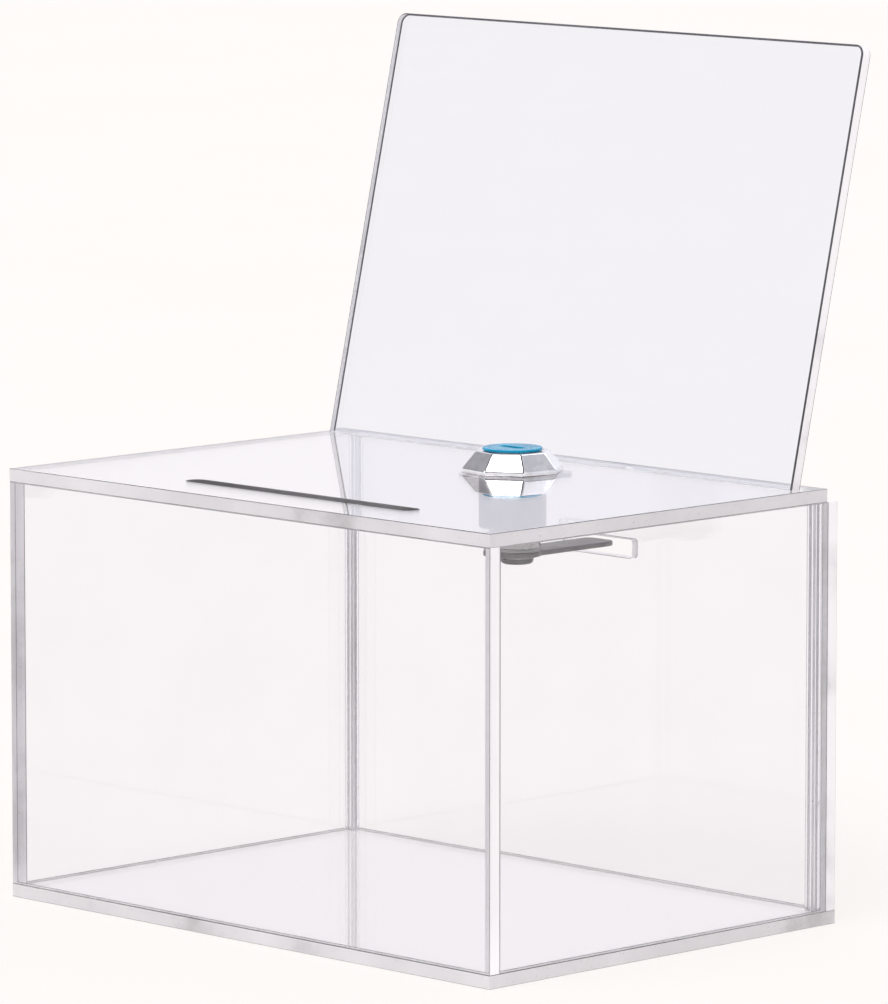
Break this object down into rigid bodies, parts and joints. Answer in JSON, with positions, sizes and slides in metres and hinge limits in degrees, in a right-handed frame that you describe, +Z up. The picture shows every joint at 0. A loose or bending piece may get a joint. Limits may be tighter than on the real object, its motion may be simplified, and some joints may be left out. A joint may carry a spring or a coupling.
{
  "type": "donation box",
  "caption": "Clear acrylic counter-top donation box with a slotted lift-off lid, a leaning sign panel and a chrome cam lock facing a slot in the rear wall.",
  "frame": {"origin": "centre of the base's underside, on the surface the box stands on", "axes": "+Z up, +X to the right along the front wall, -Y towards the front"},
  "size_m": [0.1588, 0.1267, 0.2021],
  "materials": {
    "clear_acrylic": "clear polished acrylic sheet",
    "clear_acrylic_lid": "clear polished acrylic sheet",
    "lock_chrome": "bright chrome on die-cast metal",
    "plug_metal": "nickel plate",
    "blue_disc": "gloss",
    "wafer_brass": "stamped",
    "spring_steel": "spring temper",
    "zinc_steel": "zinc plate",
    "cam_steel": "zinc plated pressed steel",
    "screw_steel": "plated"
  },
  "bodies": {
    "box": {"base_panel": "clear_acrylic", "front_panel": "clear_acrylic", "rear_panel": "clear_acrylic", "left_panel": "clear_acrylic", "right_panel": "clear_acrylic", "corner_strip_left": "clear_acrylic", "corner_strip_right": "clear_acrylic"},
    "lid": {"lid_panel": "clear_acrylic_lid", "header_panel": "clear_acrylic_lid", "lock_housing": "lock_chrome", "mounting_clip": "spring_steel"},
    "plug": {"lock_plug": "plug_metal", "plug_face_disc": "blue_disc", "wafer_tumblers": "wafer_brass", "wafer_springs": "spring_steel", "stop_washer": "zinc_steel", "lock_cam": "cam_steel", "cam_lock_washer": "zinc_steel", "cam_screw": "screw_steel"}
  },
  "joints": [
    {"name": "lid_lift", "type": "slide", "parent": "box", "child": "lid", "axis": [0, 0, 1], "range_m": [0, 0.11]},
    {"name": "cam_turn", "type": "hinge", "parent": "lid", "child": "plug", "pos_m": [0.0062, 0.0242, 0.10147], "axis": [0, 0, -1], "range_deg": [0, 90]}
  ]
}
